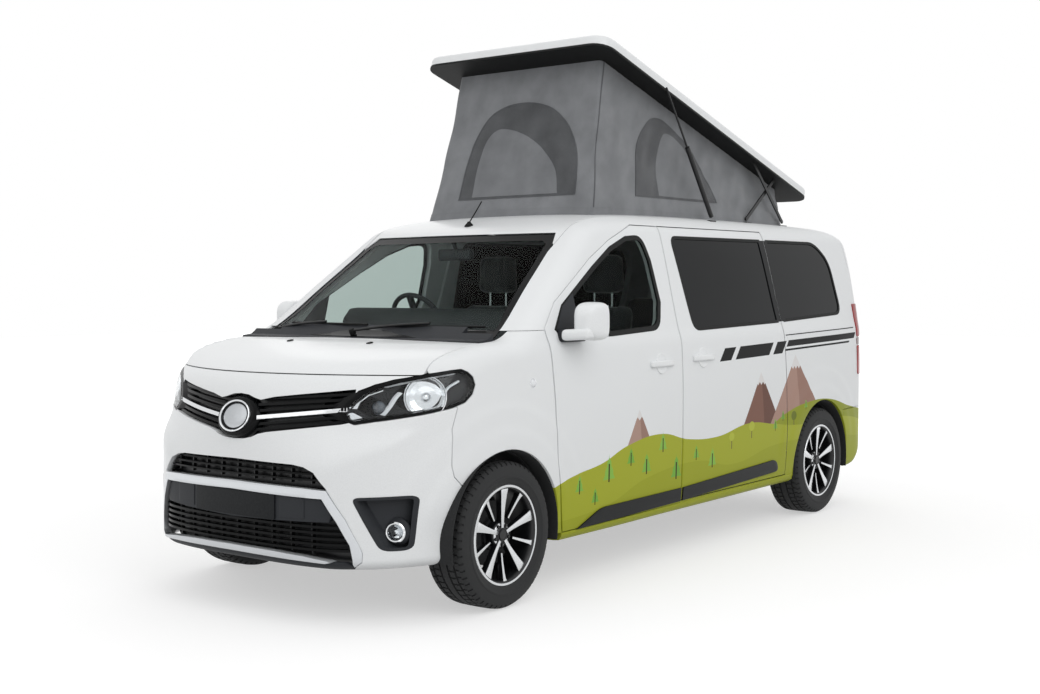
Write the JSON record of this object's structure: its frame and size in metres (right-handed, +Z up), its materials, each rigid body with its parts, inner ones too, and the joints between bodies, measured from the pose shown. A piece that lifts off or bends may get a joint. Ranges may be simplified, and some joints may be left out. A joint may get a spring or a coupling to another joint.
{
  "type": "camper van",
  "caption": "Compact camper van with a raising roof over a canvas tent, hinged front doors, sliding side doors, a tailgate, a bonnet, steered front wheels and a fitted cabin.",
  "frame": {"origin": "on the ground, midway along the overall length and midway across the width", "axes": "+X forward, +Y to the vehicle's left, +Z up"},
  "size_m": [4.9297, 2.219, 2.7849],
  "materials": {
    "body_white": "gloss clear coat",
    "black_plastic": "fine grained moulding",
    "gloss_black": "gloss",
    "clear_glass": "polished",
    "privacy_glass": "polished, dark tint",
    "lamp_glass": "polished",
    "tail_lens": "moulded lens",
    "floor_coating": "underbody coating",
    "seat_cloth": "woven",
    "cabinet_laminate": "laminate",
    "cast_metal": "as cast",
    "exhaust_steel": "dull",
    "tyre_rubber": "moulded",
    "rim_alloy": "diamond cut and lacquered",
    "roof_moulding": "gloss gelcoat",
    "tent_cloth": "coated canvas",
    "black_steel": "powder coat",
    "rod_steel": "polished"
  },
  "bodies": {
    "van": {"floor_pan": "floor_coating", "body_side_left": "body_white", "body_side_right": "body_white", "roof_panel": "body_white", "front_wing_left": "body_white", "front_wing_right": "body_white", "cowl_panel": "black_plastic", "front_bumper": "body_white", "rear_bumper": "body_white", "front_grille": "black_plastic", "headlights": "lamp_glass", "tail_lights": "tail_lens", "windscreen": "clear_glass", "side_glass": "privacy_glass", "sliding_door_left": "body_white", "sliding_door_right": "body_white", "wheel_arch_liners": "black_plastic", "dashboard": "black_plastic", "front_seats": "seat_cloth", "rear_bench": "seat_cloth", "kitchen_unit": "cabinet_laminate", "engine_block": "cast_metal", "fuel_tank": "floor_coating", "exhaust": "exhaust_steel", "front_subframe": "black_steel", "rear_axle": "black_steel", "tent_canvas": "tent_cloth"},
    "bonnet": {"bonnet": "body_white"},
    "front_door_left": {"front_door_left": "body_white", "front_door_glass_left": "clear_glass", "door_mirror_left": "body_white"},
    "front_door_right": {"front_door_right": "body_white", "front_door_glass_right": "clear_glass", "door_mirror_right": "body_white"},
    "tailgate": {"tailgate": "body_white", "tailgate_glass": "privacy_glass"},
    "steering_wheel": {"steering_wheel": "black_plastic"},
    "knuckle_left": {"knuckle_left": "cast_metal"},
    "knuckle_right": {"knuckle_right": "cast_metal"},
    "wheel_front_left": {"tyre_front_left": "tyre_rubber", "rim_front_left": "rim_alloy"},
    "wheel_front_right": {"tyre_front_right": "tyre_rubber", "rim_front_right": "rim_alloy"},
    "wheel_rear_left": {"tyre_rear_left": "tyre_rubber", "rim_rear_left": "rim_alloy"},
    "wheel_rear_right": {"tyre_rear_right": "tyre_rubber", "rim_rear_right": "rim_alloy"},
    "roof_arms": {"roof_arms_main": "black_steel"},
    "raising_roof": {"roof_shell": "roof_moulding"},
    "roof_arms_second": {"roof_arms_second": "black_steel"},
    "strut_tubes": {"strut_tubes": "black_steel"},
    "strut_rods": {"strut_rods": "rod_steel"}
  },
  "joints": [
    {"name": "left_steer", "type": "hinge", "parent": "van", "child": "knuckle_left", "pos_m": [1.625, 0.75, 0.338], "axis": [0, 0, 1], "range_deg": [-35, 35]},
    {"name": "right_steer", "type": "hinge", "parent": "van", "child": "knuckle_right", "pos_m": [1.625, -0.75, 0.338], "axis": [0, 0, 1], "range_deg": [-35.01, 35.01]},
    {"name": "steering_wheel_turn", "type": "hinge", "parent": "van", "child": "steering_wheel", "pos_m": [0.745, -0.38, 1.258], "axis": [-0.9063, 0, 0.4226], "range_deg": [-490.01, 490.01]},
    {"name": "front_left_wheel_spin", "type": "hinge", "parent": "knuckle_left", "child": "wheel_front_left", "pos_m": [1.625, 0.82, 0.338], "axis": [0, 1, 0], "continuous": true},
    {"name": "front_right_wheel_spin", "type": "hinge", "parent": "knuckle_right", "child": "wheel_front_right", "pos_m": [1.625, -0.82, 0.338], "axis": [0, 1, 0], "continuous": true},
    {"name": "rear_left_wheel_spin", "type": "hinge", "parent": "van", "child": "wheel_rear_left", "pos_m": [-1.65, 0.82, 0.338], "axis": [0, 1, 0], "continuous": true},
    {"name": "rear_right_wheel_spin", "type": "hinge", "parent": "van", "child": "wheel_rear_right", "pos_m": [-1.65, -0.82, 0.338], "axis": [0, 1, 0], "continuous": true},
    {"name": "front_left_door", "type": "hinge", "parent": "van", "child": "front_door_left", "pos_m": [1.187, 0.95, 0.7], "axis": [0, 0, -1], "range_deg": [0, 65]},
    {"name": "front_right_door", "type": "hinge", "parent": "van", "child": "front_door_right", "pos_m": [1.187, -0.95, 0.7], "axis": [0, 0, 1], "range_deg": [0, 65]},
    {"name": "bonnet_hinge", "type": "hinge", "parent": "van", "child": "bonnet", "pos_m": [1.67, 0, 1.222], "axis": [0, -1, 0], "range_deg": [0, 52]},
    {"name": "tailgate_hinge", "type": "hinge", "parent": "van", "child": "tailgate", "pos_m": [-2.315, 0, 1.811], "axis": [0, 1, 0], "range_deg": [0, 82]},
    {"name": "roof_arm_lift", "type": "hinge", "parent": "van", "child": "roof_arms", "pos_m": [-1.74494, 0, 1.88], "axis": [0, 1, 0], "range_deg": [0, 40.75], "deforming": ["tent_canvas"]},
    {"name": "roof_shell_tilt", "type": "hinge", "parent": "roof_arms", "child": "raising_roof", "pos_m": [-1.33436, 0, 2.25491], "axis": [0, 1, 0], "range_deg": [-24.46, 0]},
    {"name": "second_arm_fold", "type": "hinge", "parent": "van", "child": "roof_arms_second", "pos_m": [-1.28388, 0, 1.88389], "axis": [0, -1, 0], "range_deg": [0, 34.88]},
    {"name": "strut_tube_fold", "type": "hinge", "parent": "van", "child": "strut_tubes", "pos_m": [-0.70291, 0, 1.87494], "axis": [0, 1, 0], "range_deg": [0, 52.99]},
    {"name": "strut_rod_slide", "type": "slide", "parent": "strut_tubes", "child": "strut_rods", "axis": [0.5871, 0, 0.8095], "range_m": [-0.16936, 0]}
  ],
  "couplings": [
    {"joint": "right_steer", "follows": "left_steer", "ratio": 1},
    {"joint": "steering_wheel_turn", "follows": "left_steer", "ratio": 14},
    {"joint": "roof_shell_tilt", "follows": "roof_arm_lift", "ratio": -0.60001},
    {"joint": "second_arm_fold", "follows": "roof_arm_lift", "ratio": 0.85557},
    {"joint": "strut_tube_fold", "follows": "roof_arm_lift", "ratio": 1.3002},
    {"joint": "strut_rod_slide", "follows": "roof_arm_lift", "m_per_rad": -0.23798}
  ]
}
